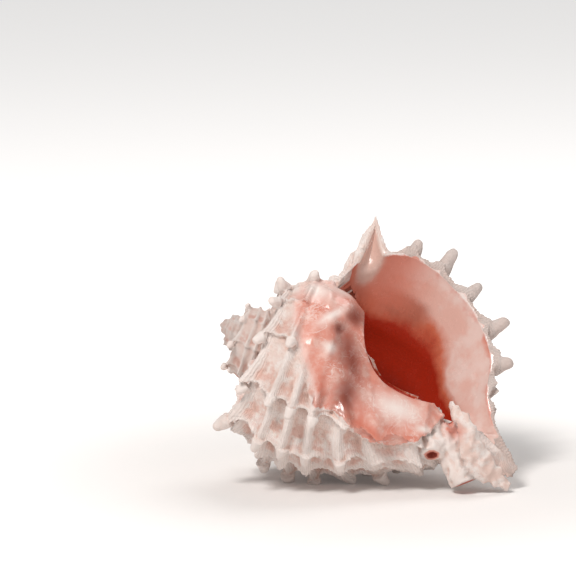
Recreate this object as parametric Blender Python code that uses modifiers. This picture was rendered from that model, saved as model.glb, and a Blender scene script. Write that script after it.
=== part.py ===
"""A murex shell lying on two rows of its lower spines, mouth to the front, apex to the left.

Shapes are first laid out in the shell's own frame, in millimetres: its axis runs along +Z from
the apex to the end of the canal, and angles turn about it, 0 being up in the lying shell, 90
towards the viewer and 180 down. Growth angles are 0 at the lip and negative for older parts.
"""
import math

import bmesh
import bpy
import numpy as np
from mathutils import Matrix, Vector

NAME = "murex_shell"
MM = 0.001

# Growth
WHORL_GROWTH = 2.17                 # size of one whorl over the size of the whorl before it
LIP_ANGLE = -23.0                   # where the edge of the mouth stands about the axis, degrees
OLDEST = -1700.0                    # growth angle of the first section
FINE_FROM = -480.0                  # sections closer together from here on
FINE_STEP = 2.5
COARSE_STEP = 6.0

# Lie of the shell
AXIS_DROP = 26.5                    # degrees by which the canal end lies lower than the apex
AXIS_SWING = 5.1                    # degrees by which the canal end comes forwards
VIEW_TILT = 10.0                    # degrees by which both were measured from above level
APEX_PLACE = (-0.0503, -0.0001, 0.0549)

# Section of the whorl at its size at the lip: distance from the axis, distance below the apex
OUTLINE = [(20.0, 31.0), (29.5, 31.5), (36.5, 34.0), (40.8, 40.0), (43.0, 48.0), (43.6, 56.0), (42.4, 65.0),
           (39.0, 74.0), (33.5, 81.5), (26.0, 87.5), (18.0, 92.0), (12.0, 97.0), (8.5, 104.0), (5.5, 112.5)]
# The same places on the flared edge of the lip
LIP_EDGE = [(24.0, 32.5), (34.0, 31.5), (42.5, 32.5), (49.5, 39.5), (53.4, 48.0), (53.0, 56.0), (50.3, 66.0),
            (46.8, 74.8), (41.0, 83.0), (33.0, 89.5), (21.5, 93.5), (14.5, 99.0), (10.5, 105.0), (6.0, 113.5)]
AXIAL_SIDE = [(-1.0, 113.0), (-1.5, 100.0), (-1.5, 80.0), (-1.0, 60.0), (2.0, 45.0), (10.0, 35.0)]
OUTLINE_POINTS = 150
AXIAL_POINTS = 14

# The base lengthens more slowly than the whorl widens: power of growth by distance below the apex
BASE_PLACES = [0.0, 74.0, 86.5, 91.5, 130.0]
BASE_POWERS = [1.0, 1.0, 0.75, 0.33, 0.33]
CANAL_BEND = 0.004                  # downward bend of the canal for each square millimetre past its start
BEND_FROM = 80.0

# Spiral cords, as places from 0 to 1 along the outline
CORDS = [0.17, 0.30, 0.395, 0.49, 0.59, 0.68, 0.765, 0.835]
CORD_WIDTH = 0.024
CORD_BROADENS = 0.5                 # share by which a cord is broader on a ridge
CORD_HEIGHT = 2.0

# Rows of spines: growth angle, ridge height, spine lengths on the first six cords, slant to the canal
ROWS = [
    (-9.0, 1.4, (0.0, 0.0, 0.0, 0.0, 0.0, 0.0), 0.0),
    (-36.0, 3.6, (5.0, 6.5, 7.0, 7.0, 6.0, 2.0), 0.0),
    (-78.0, 4.0, (6.0, 4.5, 5.0, 5.0, 4.0, 2.0), 0.1),
    (-117.0, 4.4, (5.4, 6.4, 7.4, 8.0, 5.4, 1.4), 0.2),
    (-149.0, 5.6, (2.6, 3.4, 4.0, 4.0, 4.0, 3.2), 0.6),
    (-172.0, 5.0, (0.0, 0.0, 0.0, 0.0, 0.0, 0.0), 0.0),
    (-190.0, 7.0, (6.6, 2.6, 2.0, 2.0, 1.6, 1.0), 0.0),
    (-222.0, 6.4, (3.6, 2.2, 1.8, 1.8, 1.2, 1.0), 0.0),
    (-262.0, 5.4, (3.6, 2.4, 1.8, 1.4, 1.0, 1.0), 0.0),
    (-298.0, 5.4, (5.0, 3.4, 2.6, 1.8, 1.0, 1.0), 0.0),
    (-331.0, 5.4, (7.4, 6.4, 3.4, 1.8, 1.0, 1.0), 0.0),
    (-372.0, 6.0, (6.0, 2.4, 1.6, 1.0, 1.0, 1.0), 0.0),
    (-415.0, 6.0, (6.0, 2.4, 1.6, 1.0, 1.0, 1.0), 0.0),
]
OLD_ROW_STEP = 45.0
OLD_ROW = (5.6, (4.0, 1.6, 1.0, 0.0, 0.0, 0.0), 0.0)
# Knobs of the lip, and the shorter ones behind them: growth angle, place along the outline, length
LIP_KNOBS = [(-9.0, 0.318, 10.5), (-9.0, 0.40, 12.0), (-9.0, 0.495, 11.5), (-9.0, 0.595, 10.0),
             (-9.0, 0.69, 6.8)]
LESSER_KNOBS = [(-17.0, 0.25, 7.5), (-18.0, 0.355, 11.5), (-18.0, 0.445, 11.5), (-17.0, 0.54, 9.5)]
SHOULDER_LEAD = 7.0                  # degrees by which the shoulder cord's spines stand ahead of their row
RAMP = 24.0                         # degrees of growth over which a ridge rises
RIDGE_RISE = 1.7                    # power of that rise
DROP = 3.0                          # degrees over which it falls away
LEAN = 7.0                          # degrees by which the crest of a full ridge hangs forwards
FULL_RIDGE = 4.0                    # height of a ridge that hangs forwards by all of that
BETWEEN_CORDS = 0.5                 # ridge height between the cords, as a share
LEAN_BETWEEN_CORDS = 0.35           # and its lean there
FADE_AT_SUTURE = 0.05               # ridges and cords fade out over this much of the outline
FADE_ON_CANAL = (0.73, 0.93)        # and between these two places
SPINE_FOOT = 2.0                    # depth to which spines are rooted
SHORTEST_SPINE = 0.8
WIDEST_SPINE = 3.1                  # radius at the foot
SPINE_RADIUS = (0.5, 1.8, 0.22)     # least radius at the foot, growing with the shell, and with the length
SPINE_SIDES = 10
# A blunt spine: share of its length, share of the ridge's lean, share of its foot's radius
BLUNT = [(0.0, 0.3, 1.0), (0.6, 0.9, 0.7), (1.0, 1.1, 0.26)]

# Lip and mouth
LIP_RAMP = 32.0                     # degrees of growth over which the lip flares
FLARE_POWER = 1.7
LIP_WALL = 1.3
WALL = 3.0
INNER_SKIN = 1.2                    # callus laid over the older whorl inside the mouth
HOLLOW_LENGTH = 175.0               # degrees of growth to which the hollow runs back
HOLLOW_CLOSING = 60.0               # over the last of these it closes, down to this size
HOLLOW_END = 0.02
HOLLOW_AHEAD = 8.0                  # degrees by which the hollow's cutter stands out of the mouth
HOLLOW_OUTER = (0.125, 0.90)        # stretch of the outline along the outer wall
HOLLOW_UNDER = (0.90, 0.37)         # stretch of the older whorl's outline on the other side
HOLLOW_RINGS = 30
HOLLOW_OUTER_POINTS = 38
HOLLOW_UNDER_POINTS = 14
HOLLOW_ROOF_POINTS = 6
# Edge of the mouth on the callus's side, as seen from in front: along the shell, across it
MOUTH_EDGE = [(41.3, 28.5), (43.6, 23.5), (45.3, 19.2), (48.9, 13.4), (53.5, 9.4), (58.5, 6.7), (65.5, 5.8),
              (73.2, 6.8), (79.5, 9.6), (81.0, 15.0), (75.0, 26.0), (62.0, 34.0), (50.0, 36.0), (43.5, 33.5)]
MOUTH_EDGE_POINTS = 36
# How the edge is carried back: distance in front of the axis, size
OPENING_STEPS = [(45.0, 1.0), (12.0, 1.0), (0.0, 1.03), (-5.0, 1.0), (-9.0, 0.85), (-12.0, 0.6), (-13.5, 0.3)]
# The tall open spine is an outward reach of the lip, with the groove of the mouth running up it
OPEN_SPINE_AT = 0.198               # place along the outline
OPEN_SPINE_HALF = 0.056             # half its width, along the outline
OPEN_SPINE_POWER = 1.55             # above 1 its sides are hollow curves
OPEN_SPINE_TALL = 17.5
OPEN_SPINE_LEAN = -4.0              # degrees by which its tip leans back
OPEN_SPINE_RAMP = 14.0              # degrees of growth over which it rises
OPEN_SPINE_RISE = 1.3               # power of that rise
OPEN_SPINE_OUT = (0.955, -0.297)
GROOVE_NARROWER = 0.020             # its groove's half width is smaller by this
GROOVE_LOWER = 0.17                 # and its height by this share
RIDGES_SPARE = (0.07, 25.0)         # round the spine ridges don't hang forwards: width, degrees

# Callus beside the mouth: growth angle, place along the outline, spreads of both, thickness
PADS = [(-322.0, 0.50, 34.0, 0.17, 16.0), (-345.0, 0.30, 22.0, 0.12, 7.0)]
COVER_FROM = -352.0                 # growth angles between which callus hides ridges and cords
COVER_TO = -230.0
COVER_EDGE = [(-352.0, 0.38), (-325.0, 0.36), (-305.0, 0.27), (-262.0, 0.29), (-232.0, 0.42)]
SHOWING_THROUGH = 0.12              # share of a ridge that still shows
COVER_BLEND = (12.0, 0.05)          # width of its borders: degrees, place along the outline

# The folded flap over the canal: centre of each section in the shell's frame, half width
FLAP = [((10.5, 5.5, 82.5), 0.9), ((9.2, 7.0, 84.5), 2.0), ((7.0, 8.5, 88.0), 2.9), ((4.6, 9.0, 91.5), 4.0),
        ((1.2, 8.5, 95.0), 5.7), ((-1.8, 7.5, 98.5), 5.4), ((-3.8, 6.0, 103.0), 4.7),
        ((-5.2, 4.0, 108.5), 3.0), ((-6.5, 2.0, 113.5), 1.6)]
FLAP_THICKNESS = 0.36               # as a share of its width
FLAP_SIDES = 20
# Ends of two older canals: centres of their sections, radii
STUBS = [(((1.0, 1.0, 84.0), (-4.0, 3.0, 91.0), (-11.5, 4.0, 99.5)), (5.5, 5.5, 4.6)),
         (((3.0, 0.0, 77.0), (-1.5, 3.5, 81.0), (-8.0, 9.0, 85.5)), (5.8, 5.4, 4.4))]
STUB_HOLLOW = 0.52                  # radius of their hollow ends, as a share
STUB_DEPTH = 1.0                    # depth, in radii
STUB_HOLLOW_TAPER = (0.35, 1.2)     # size of the hollow's inner end, and beyond its outer end
STUB_SIDES = 16

# Facets
FINEST = 0.0008                     # detail kept where the pieces are fused, metres
KEPT_FACES = 0.0502                 # share of the fused surface's triangles that are kept

GROUND_BLOCK = 0.3                  # size of the block that stands for the ground, metres

COLOUR = (0.78, 0.62, 0.58, 1.0)
ROUGHNESS = 0.6


def step(x):
    x = np.clip(x, 0.0, 1.0)
    return x * x * (3.0 - 2.0 * x)


def growth(degrees):
    return np.exp(math.log(WHORL_GROWTH) * np.asarray(degrees, float) / 360.0)


def smooth_curve(points, samples):
    """A smooth curve through points, read at samples from 0 to 1 along its length."""
    points = np.asarray(points, float)
    lengths = np.linalg.norm(np.diff(points, axis=0), axis=1)
    chord = np.concatenate([[0.0], np.cumsum(lengths)]) / lengths.sum()
    slope = np.gradient(points, chord, axis=0)
    samples = np.clip(np.asarray(samples, float), 0.0, 1.0)
    i = np.clip(np.searchsorted(chord, samples, side="right") - 1, 0, len(points) - 2)
    span = (chord[i + 1] - chord[i])[..., None]
    t = (samples - chord[i])[..., None] / span
    near = (2 * t**3 - 3 * t**2 + 1) * points[i] + (t**3 - 2 * t**2 + t) * slope[i] * span
    return near + (3 * t**2 - 2 * t**3) * points[i + 1] + (t**3 - t**2) * slope[i + 1] * span


def outline(v):
    """Points and outward normals of the section's outer line at the lip."""
    nudge = 0.001
    along = smooth_curve(OUTLINE, v + nudge) - smooth_curve(OUTLINE, v - nudge)
    normals = np.stack([along[..., 1], -along[..., 0]], axis=-1)
    return smooth_curve(OUTLINE, v), normals / np.linalg.norm(normals, axis=-1, keepdims=True)


def open_spine(v, degrees, inset):
    """Share of the open spine's height: of its outer face with an inset of 0, of its groove with 1."""
    rise = np.clip(1.0 + degrees / OPEN_SPINE_RAMP, 0.0, 1.0)**OPEN_SPINE_RISE
    half = OPEN_SPINE_HALF - GROOVE_NARROWER * inset
    share = np.clip(1.0 - np.abs(v - OPEN_SPINE_AT) / half, 0.0, 1.0)**OPEN_SPINE_POWER
    return rise * share * (1.0 - GROOVE_LOWER * inset)


def flared(v, degrees, inset=0.0):
    """Outline points and normals at a growth angle, still at the size of the lip."""
    points, normals = outline(v)
    share = np.clip(1.0 + degrees / LIP_RAMP, 0.0, 1.0)**FLARE_POWER
    points = points + share * (smooth_curve(LIP_EDGE, v) - points)
    reach = OPEN_SPINE_TALL * open_spine(v, degrees, inset)
    return points + reach[..., None] * np.array(OPEN_SPINE_OUT), normals


def grown(points, degrees):
    """Section points of the lip at the size they had at a growth angle."""
    g = growth(degrees)
    power = np.interp(points[..., 1], BASE_PLACES, BASE_POWERS)
    return np.stack([points[..., 0] * g, points[..., 1] * g**power], axis=-1)


def shell_point(r, z, degrees):
    """Points of the shell's frame from their places in the section and the growth angle."""
    angle = np.radians(LIP_ANGLE + degrees)
    bend = CANAL_BEND * np.clip(z - BEND_FROM, 0.0, None)**2
    return np.stack([r * np.cos(angle) - bend, r * np.sin(angle), z], axis=-1)


def all_rows():
    rows = list(ROWS)
    angle = ROWS[-1][0] - OLD_ROW_STEP
    while angle > OLDEST:
        rows.append((angle, *OLD_ROW))
        angle -= OLD_ROW_STEP
    return rows


def ridge(past):
    """Height from 0 to 1 of a row's ridge, at an angle past its crest."""
    rise = np.clip(1.0 + past / RAMP, 0.0, 1.0)**RIDGE_RISE
    fall = np.clip(1.0 - past / DROP, 0.0, 1.0)
    return np.where(past <= 0.0, rise, fall)


def cord_bumps(v, lift=0.0):
    """Height from 0 to 1 of the cords, which are broader where a ridge lifts them."""
    width = CORD_WIDTH * (1.0 + CORD_BROADENS * lift)
    return np.clip(sum(np.exp(-((v - place) / width)**2) for place in CORDS), 0.0, 1.0)


def ends_fade(v):
    """Ridges die out at the suture and on the canal."""
    first, last = FADE_ON_CANAL
    return np.clip(v / FADE_AT_SUTURE, 0.0, 1.0) * np.clip((last - v) / (last - first), 0.0, 1.0)


def cover(degrees, v):
    """1 where callus hides the ridges, 0 elsewhere."""
    turn, width = COVER_BLEND
    ends = step((degrees - COVER_FROM) / turn) * step((COVER_TO - degrees) / turn)
    start = np.interp(degrees, [angle for angle, _ in COVER_EDGE], [place for _, place in COVER_EDGE])
    return ends * step((v - start) / width)


def relief(degrees, v):
    """Height over the plain whorl, and the angle by which the surface hangs forwards."""
    shown = ends_fade(v) * (1.0 - (1.0 - SHOWING_THROUGH) * cover(degrees, v))
    height = CORD_HEIGHT * cord_bumps(v) * shown
    lean = np.zeros_like(v)
    wide, behind = RIDGES_SPARE
    hanging = shown * (1.0 - np.exp(-((v - OPEN_SPINE_AT) / wide)**2) * step(1.0 + degrees / behind))
    for angle, tall, _, _ in all_rows():
        lift = ridge(np.asarray(degrees - angle))
        bumps = cord_bumps(v, lift)
        height = height + tall * lift * (BETWEEN_CORDS + (1.0 - BETWEEN_CORDS) * bumps) * shown
        share = LEAN_BETWEEN_CORDS + (1.0 - LEAN_BETWEEN_CORDS) * bumps
        lean = lean + LEAN * min(tall / FULL_RIDGE, 1.0) * lift * share * hanging
    for angle, place, wide, high, thick in PADS:
        height = height + thick * np.exp(-((degrees - angle) / wide)**2 - ((v - place) / high)**2)
    return height, lean


def lie():
    """World frame from the shell's frame."""
    drop, swing, tilt = math.radians(AXIS_DROP), math.radians(AXIS_SWING), math.radians(VIEW_TILT)
    right = Vector((1.0, 0.0, 0.0))
    up = Vector((0.0, math.sin(tilt), math.cos(tilt)))
    front = Vector((0.0, -math.cos(tilt), math.sin(tilt)))
    level = math.cos(drop) * right - math.sin(drop) * up
    axis = math.cos(swing) * level + math.sin(swing) * front
    forward = math.cos(swing) * front - math.sin(swing) * level
    above = math.sin(drop) * right + math.cos(drop) * up
    turn = Matrix((above, forward, axis)).transposed().to_4x4()
    return Matrix.Translation(APEX_PLACE) @ turn @ Matrix.Scale(MM, 4)


def tube(rings):
    """A closed tube: a grid sheet laid through rings of points, rolled shut and capped."""
    rows, count = len(rings), len(rings[0])
    bm = bmesh.new()
    bmesh.ops.create_grid(bm, x_segments=count, y_segments=rows - 1, size=1.0)
    for index, vert in enumerate(bm.verts):
        vert.co = rings[index // (count + 1)][index % (count + 1) % count]
    bmesh.ops.remove_doubles(bm, verts=bm.verts, dist=1e-6)
    bmesh.ops.holes_fill(bm, edges=bm.edges, sides=0)
    bmesh.ops.recalc_face_normals(bm, faces=bm.faces)
    bmesh.ops.transform(bm, matrix=lie(), verts=bm.verts)
    mesh = bpy.data.meshes.new("tube")
    bm.to_mesh(mesh)
    bm.free()
    return mesh


def whorl_rings():
    """Sections of the growing shell, each closed past its axis."""
    v = np.linspace(0.0, 1.0, OUTLINE_POINTS)
    axial = smooth_curve(AXIAL_SIDE, np.linspace(0.0, 1.0, AXIAL_POINTS))
    fine = np.arange(0.0, FINE_FROM, -FINE_STEP)
    coarse = np.arange(FINE_FROM, OLDEST, -COARSE_STEP)
    rings = []
    for degrees in np.concatenate([fine, coarse])[::-1]:
        height, lean = relief(degrees, v)
        lean = lean + OPEN_SPINE_LEAN * open_spine(v, degrees, 0.0)
        base, normals = flared(v, degrees)
        outer = grown(base, degrees) + normals * (height * growth(degrees))[:, None]
        inner = grown(axial, degrees)
        rings.append(np.concatenate([shell_point(outer[:, 0], outer[:, 1], degrees + lean),
                                     shell_point(inner[:, 0], inner[:, 1], degrees)]))
    return rings


def hollow_rings():
    """Sections of the hollow, from in front of the mouth back into the last whorl."""
    outer_v = np.linspace(*HOLLOW_OUTER, HOLLOW_OUTER_POINTS)
    under_v = np.linspace(*HOLLOW_UNDER, HOLLOW_UNDER_POINTS)
    under, under_normals = outline(under_v)
    rings = []
    for degrees in np.linspace(HOLLOW_AHEAD, -HOLLOW_LENGTH, HOLLOW_RINGS):
        near_lip = np.clip(1.0 + degrees / LIP_RAMP, 0.0, 1.0)
        wall = WALL + (LIP_WALL - WALL) * near_lip
        base, normals = flared(outer_v, degrees, 1.0)
        outer = grown(base, degrees) - normals * (wall * growth(degrees))
        older = degrees - 360.0
        lift = (relief(older, under_v)[0] + INNER_SKIN) * growth(older)
        inner = grown(under, older) + under_normals * lift[:, None]
        roof = inner[-1] + (outer[0] - inner[-1]) * np.linspace(0.0, 1.0, HOLLOW_ROOF_POINTS + 2)[1:-1, None]
        ring = np.concatenate([outer, inner, roof])
        middle = ring.mean(axis=0)
        closing = np.sqrt(np.clip((degrees + HOLLOW_LENGTH) / HOLLOW_CLOSING, HOLLOW_END, 1.0))
        ring = middle + (ring - middle) * closing
        lean = np.zeros(len(ring))
        lean[:len(outer_v)] = OPEN_SPINE_LEAN * open_spine(outer_v, degrees, 1.0)
        rings.append(shell_point(ring[:, 0], ring[:, 1], degrees + lean))
    return rings


def opening_rings():
    """The edge of the mouth carried straight back into the whorl."""
    edge = smooth_curve(MOUTH_EDGE + MOUTH_EDGE[:1], np.linspace(0.0, 1.0, MOUTH_EDGE_POINTS + 1)[:-1])
    middle = edge.mean(axis=0)
    swing = math.radians(AXIS_SWING)
    rings = []
    for ahead, size in OPENING_STEPS:
        flat = middle + (edge - middle) * size
        along = (flat[:, 0] + math.sin(swing) * ahead) / math.cos(swing)
        rings.append(np.stack([flat[:, 1], np.full(len(flat), ahead), along], axis=-1))
    return rings


def horn_rings(path, radii, sides):
    """Sections of a tapering round horn along a path."""
    path = [Vector(point) for point in path]
    rings = []
    for index, centre in enumerate(path):
        ahead = path[min(index + 1, len(path) - 1)] - path[max(index - 1, 0)]
        turn = ahead.to_track_quat("Z", "Y").to_matrix()
        angles = [2.0 * math.pi * k / sides for k in range(sides)]
        round_it = [turn @ Vector((math.cos(a), math.sin(a), 0.0)) for a in angles]
        rings.append([centre + radii[index] * spoke for spoke in round_it])
    return rings


def spines():
    """Horns standing on the cords where the ridge of each row crosses them, and the lesser ones."""
    stands = [(degrees, place, length, slant) for degrees, _, lengths, slant in all_rows()
              for place, length in zip(CORDS, lengths)]
    stands += [(degrees, place, length, 0.0) for degrees, place, length in LIP_KNOBS + LESSER_KNOBS]
    made = []
    for degrees, place, length, slant in stands:
        g = float(growth(degrees))
        v = np.array([place])
        if length * g < SHORTEST_SPINE or cover(degrees, v)[0] > 0.5:
            continue
        base, normal = flared(v, degrees)
        high = relief(degrees, v)[0][0]
        foot = grown(base, degrees) + normal * (high - SPINE_FOOT) * g
        tip = grown(base, degrees) + (normal * (high + length) + (0.0, slant * length)) * g
        ahead = SHOULDER_LEAD if place == CORDS[0] else 0.0
        least, with_size, with_length = SPINE_RADIUS
        wide = min(least + (with_size + with_length * length) * g, WIDEST_SPINE)
        path = []
        for up, turn, _ in BLUNT:
            r, z = (foot + up * (tip - foot))[0]
            path.append(shell_point(r, z, degrees + ahead + LEAN * turn))
        made.append(tube(horn_rings(path, [wide * slim for _, _, slim in BLUNT], SPINE_SIDES)))
    return made


def flap_rings():
    turns = [2.0 * math.pi * k / FLAP_SIDES for k in range(FLAP_SIDES)]
    return [[(above + half * math.cos(a), ahead + half * FLAP_THICKNESS * math.sin(a), z) for a in turns]
            for (above, ahead, z), half in FLAP]


def stub_hollow_rings(path, radii):
    end = Vector(path[-1])
    out = (end - Vector(path[-2])).normalized()
    wide = radii[-1]
    places = (end - out * wide * STUB_DEPTH, end, end + out * wide)
    inner, beyond = STUB_HOLLOW_TAPER
    return horn_rings(places, (wide * inner, wide * STUB_HOLLOW, wide * STUB_HOLLOW * beyond), STUB_SIDES)


def floor_block():
    """Everything below the surface that the shell lies on."""
    bm = bmesh.new()
    bmesh.ops.create_cube(bm, size=GROUND_BLOCK, matrix=Matrix.Translation((0.0, 0.0, -GROUND_BLOCK / 2.0)))
    mesh = bpy.data.meshes.new("floor")
    bm.to_mesh(mesh)
    bm.free()
    return mesh


def fused(meshes, name):
    bm = bmesh.new()
    for mesh in meshes:
        bm.from_mesh(mesh)
        bpy.data.meshes.remove(mesh)
    mesh = bpy.data.meshes.new(name)
    bm.to_mesh(mesh)
    bm.free()
    return mesh


def outer_surface(obj):
    """The fused surface alone, without the small pockets left inside where the pieces met."""
    graph = bpy.context.evaluated_depsgraph_get()
    mesh = bpy.data.meshes.new_from_object(obj.evaluated_get(graph))
    bm = bmesh.new()
    bm.from_mesh(mesh)
    waiting = set(bm.verts)
    surfaces = []
    while waiting:
        found = {waiting.pop()}
        edge_of_search = set(found)
        while edge_of_search:
            beyond = {edge.other_vert(vert) for vert in edge_of_search for edge in vert.link_edges}
            edge_of_search = beyond - found
            found |= edge_of_search
        waiting -= found
        surfaces.append(found)
    surfaces.sort(key=len)
    pockets = [vert for surface in surfaces[:-1] for vert in surface]
    bmesh.ops.delete(bm, geom=pockets, context="VERTS")
    bm.to_mesh(mesh)
    bm.free()
    return mesh


def shell_material():
    material = bpy.data.materials.new("chalky_shell")
    material.use_nodes = True
    shader = material.node_tree.nodes["Principled BSDF"]
    shader.inputs["Base Color"].default_value = COLOUR
    shader.inputs["Roughness"].default_value = ROUGHNESS
    shader.inputs["Metallic"].default_value = 0.0
    return material


def main():
    for obj in list(bpy.data.objects):
        bpy.data.objects.remove(obj)
    parts = bpy.data.collections.new(NAME)
    cutters = bpy.data.collections.new("cutters")
    for collection in (parts, cutters):
        bpy.context.scene.collection.children.link(collection)

    grown_pieces = [tube(whorl_rings()), tube(flap_rings())]
    grown_pieces += [tube(horn_rings(path, radii, STUB_SIDES)) for path, radii in STUBS]
    shell = bpy.data.objects.new(NAME, fused(grown_pieces + spines(), NAME))
    shell.data.materials.append(shell_material())
    parts.objects.link(shell)
    one_surface = shell.modifiers.new("one_surface", "REMESH")
    one_surface.mode = "VOXEL"
    one_surface.voxel_size = FINEST
    one_surface.use_smooth_shade = True
    surface = outer_surface(shell)
    shell.modifiers.remove(one_surface)
    shell.data = surface
    facets = shell.modifiers.new("facets", "DECIMATE")
    facets.ratio = KEPT_FACES
    facets.use_collapse_triangulate = True

    cuts = {"hollow": tube(hollow_rings()), "opening": tube(opening_rings()), "resting_plane": floor_block()}
    for number, (path, radii) in enumerate(STUBS, 1):
        cuts[f"stub_hollow_{number}"] = tube(stub_hollow_rings(path, radii))
    for name, mesh in cuts.items():
        cutter = bpy.data.objects.new(name, mesh)
        cutter.hide_render = True
        cutter.display_type = "WIRE"
        cutters.objects.link(cutter)
        cut = shell.modifiers.new(name, "BOOLEAN")
        cut.operation = "DIFFERENCE"
        cut.solver = "EXACT"
        cut.object = cutter


main()
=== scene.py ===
# %% [markdown]
# # A murex shell, mouth to the front
# The shell is one piece that grew: a tube that turned about an axis while it got bigger. The
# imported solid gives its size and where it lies. This file grows the same tube again in fine
# steps, adds the spines, the lip, the callus and the canal, and then gives it a chalky outside
# and a polished pink mouth.

# %% Load the frame
import math

import bmesh
import bpy
import numpy as np
from mathutils import Matrix, Vector, kdtree, noise


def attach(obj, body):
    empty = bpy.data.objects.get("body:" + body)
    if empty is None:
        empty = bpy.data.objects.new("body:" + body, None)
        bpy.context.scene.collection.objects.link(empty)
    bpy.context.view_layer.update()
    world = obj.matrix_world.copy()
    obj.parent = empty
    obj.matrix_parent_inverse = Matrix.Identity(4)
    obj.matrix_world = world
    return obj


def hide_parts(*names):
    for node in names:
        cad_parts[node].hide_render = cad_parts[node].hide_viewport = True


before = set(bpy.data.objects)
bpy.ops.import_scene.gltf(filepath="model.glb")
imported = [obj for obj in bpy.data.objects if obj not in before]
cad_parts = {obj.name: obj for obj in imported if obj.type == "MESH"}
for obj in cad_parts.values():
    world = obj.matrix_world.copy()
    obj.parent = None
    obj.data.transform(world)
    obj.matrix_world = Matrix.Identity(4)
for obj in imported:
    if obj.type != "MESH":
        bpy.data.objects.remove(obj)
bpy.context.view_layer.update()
NODE = "murex_shell"


def placed(name, data):
    """A new object in the scene, at the origin."""
    made = bpy.data.objects.new(name, data)
    bpy.context.scene.collection.objects.link(made)
    return made


def mesh_of(bm, name):
    """A new mesh with what a bmesh holds."""
    mesh = bpy.data.meshes.new(name)
    bm.to_mesh(mesh)
    bm.free()
    return mesh


# %% [markdown]
# ## How a shell grows
# Every turn makes the tube larger by the same factor, so an older part is the lip's section made
# smaller and turned back about the axis. A growth angle of 0 is the lip, and older parts have
# negative angles. The section is drawn once, as a few points that a smooth curve joins. The lip
# flares out past it, so its edge is drawn too, and the section widens to it over the last degrees.

# %% Growth and the section of the whorl
MM = 0.001
WHORL_GROWTH = 2.17
LIP_ANGLE = -23.0
OUTLINE = [(20.0, 31.0), (29.5, 31.5), (36.5, 34.0), (40.8, 40.0), (43.0, 48.0), (43.6, 56.0), (42.4, 65.0),
           (39.0, 74.0), (33.5, 81.5), (26.0, 87.5), (18.0, 92.0), (12.0, 97.0), (8.5, 104.0), (5.5, 112.5)]
LIP_EDGE = [(24.0, 31.5), (34.0, 30.0), (43.0, 31.2), (51.0, 38.9), (55.2, 48.0), (54.8, 56.0), (51.6, 66.0),
            (47.4, 74.8), (41.0, 83.0), (33.0, 89.5), (21.5, 93.5), (14.5, 99.0), (10.5, 105.0), (6.0, 113.5)]
AXIAL_SIDE = [(-1.0, 113.0), (-1.5, 100.0), (-1.5, 80.0), (-1.0, 60.0), (2.0, 45.0), (10.0, 35.0)]
BASE_PLACES = [0.0, 74.0, 86.5, 91.5, 130.0]
BASE_POWERS = [1.0, 1.0, 0.75, 0.33, 0.33]
CANAL_BEND, BEND_FROM = 0.004, 80.0
LIP_RAMP, FLARE_POWER = 32.0, 1.7
# The tall open spine, as an outward reach of the lip: place, half width and power on the outline
OPEN_SPINE_AT, OPEN_SPINE_HALF, OPEN_SPINE_POWER = 0.198, 0.056, 1.55
# its height in mm, the degrees by which it leans back and over which it rises, and its direction
OPEN_SPINE_TALL, OPEN_SPINE_LEAN, OPEN_SPINE_RAMP, OPEN_SPINE_OUT = 17.5, -4.0, 14.0, (0.955, -0.297)
OPEN_SPINE_RISE = 1.3               # power of its rise
NEAR_SPINE = np.linspace(OPEN_SPINE_AT - OPEN_SPINE_HALF, OPEN_SPINE_AT + OPEN_SPINE_HALF, 60)
# Its groove: degrees of growth that it is deep, how much narrower and lower than the spine it is
GROOVE_RAMP, GROOVE_NARROWER, GROOVE_LOWER = 6.0, 0.020, 0.17


def step(x):
    x = np.clip(x, 0.0, 1.0)
    return x * x * (3.0 - 2.0 * x)


def growth(degrees):
    return np.exp(math.log(WHORL_GROWTH) * np.asarray(degrees, float) / 360.0)


def smooth_curve(points, samples):
    """A smooth curve through points, read at samples from 0 to 1 along its length."""
    points = np.asarray(points, float)
    lengths = np.linalg.norm(np.diff(points, axis=0), axis=1)
    chord = np.concatenate([[0.0], np.cumsum(lengths)]) / lengths.sum()
    slope = np.gradient(points, chord, axis=0)
    samples = np.clip(np.asarray(samples, float), 0.0, 1.0)
    i = np.clip(np.searchsorted(chord, samples, side="right") - 1, 0, len(points) - 2)
    span = (chord[i + 1] - chord[i])[..., None]
    t = (samples - chord[i])[..., None] / span
    near = (2 * t**3 - 3 * t**2 + 1) * points[i] + (t**3 - 2 * t**2 + t) * slope[i] * span
    return near + (3 * t**2 - 2 * t**3) * points[i + 1] + (t**3 - t**2) * slope[i + 1] * span


def open_spine(v, degrees, inset=0.0):
    """Share of the open spine's height, for the outer face or for the groove set into it."""
    rise = np.clip(1.0 + degrees / (GROOVE_RAMP if inset else OPEN_SPINE_RAMP), 0.0, 1.0)**OPEN_SPINE_RISE
    half = OPEN_SPINE_HALF - GROOVE_NARROWER * inset
    share = np.clip(1.0 - np.abs(v - OPEN_SPINE_AT) / half, 0.0, 1.0)**OPEN_SPINE_POWER
    return rise * share * (1.0 - GROOVE_LOWER * inset)


def flared(v, degrees, inset=0.0):
    """Outline points and normals at a growth angle, at the size of the lip."""
    nudge = 0.001
    along = smooth_curve(OUTLINE, v + nudge) - smooth_curve(OUTLINE, v - nudge)
    normals = np.stack([along[..., 1], -along[..., 0]], axis=-1)
    normals /= np.linalg.norm(normals, axis=-1, keepdims=True)
    share = np.clip(1.0 + degrees / LIP_RAMP, 0.0, 1.0)**FLARE_POWER
    points = smooth_curve(OUTLINE, v)
    points = points + share * (smooth_curve(LIP_EDGE, v) - points)
    reach = OPEN_SPINE_TALL * open_spine(v, degrees, inset)
    return points + reach[..., None] * np.array(OPEN_SPINE_OUT), normals


def grown(points, degrees):
    g = growth(degrees)
    power = np.interp(points[..., 1], BASE_PLACES, BASE_POWERS)
    return np.stack([points[..., 0] * g, points[..., 1] * g**power], axis=-1)


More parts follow.
